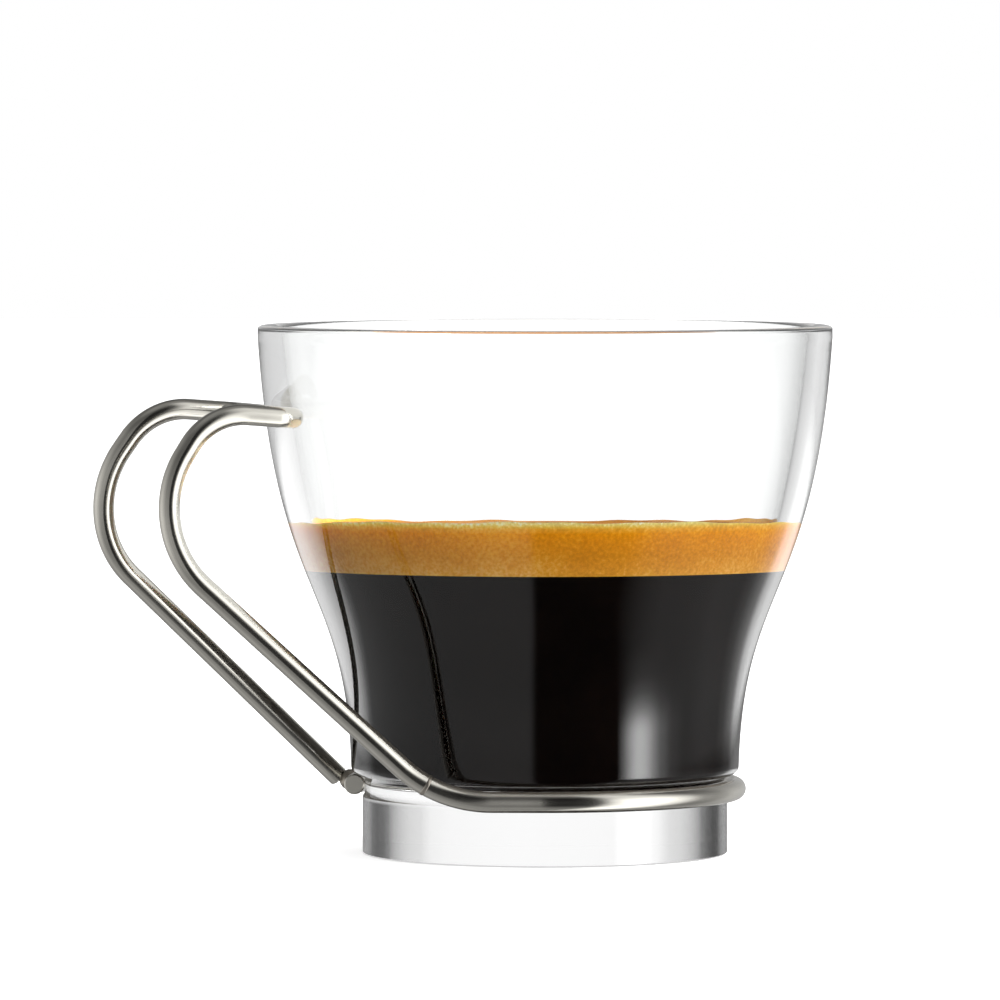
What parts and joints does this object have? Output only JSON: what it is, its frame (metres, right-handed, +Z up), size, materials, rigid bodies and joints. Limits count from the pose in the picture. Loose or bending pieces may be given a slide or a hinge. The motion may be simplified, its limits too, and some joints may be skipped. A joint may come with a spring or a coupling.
{
  "type": "cortado glass",
  "caption": "Flared clear glass with a short solid foot and a swivelling bent wire handle on a ring round its waist, part filled with espresso under a layer of crema.",
  "frame": {"origin": "centre of the foot's flat resting face, on the glass's axis", "axes": "+Z up along the glass's axis, handle along -X, X and Z in the handle's middle plane"},
  "size_m": [0.0873, 0.0688, 0.0632],
  "materials": {
    "clear_glass": "clear, polished",
    "stainless_wire": "satin",
    "weld": "satin, slightly dull",
    "espresso": "dark liquid, glossy",
    "crema": "fine foam, matte"
  },
  "bodies": {
    "glass": {"glass_cup": "clear_glass", "espresso": "espresso", "crema": "crema"},
    "handle": {"base_ring": "stainless_wire", "handle_loop": "stainless_wire", "front_weld": "weld", "rear_weld": "weld"}
  },
  "joints": [
    {"name": "handle_swivel", "type": "hinge", "parent": "glass", "child": "handle", "pos_m": [0, 0, 0.0076], "axis": [0, 0, 1], "continuous": true}
  ]
}
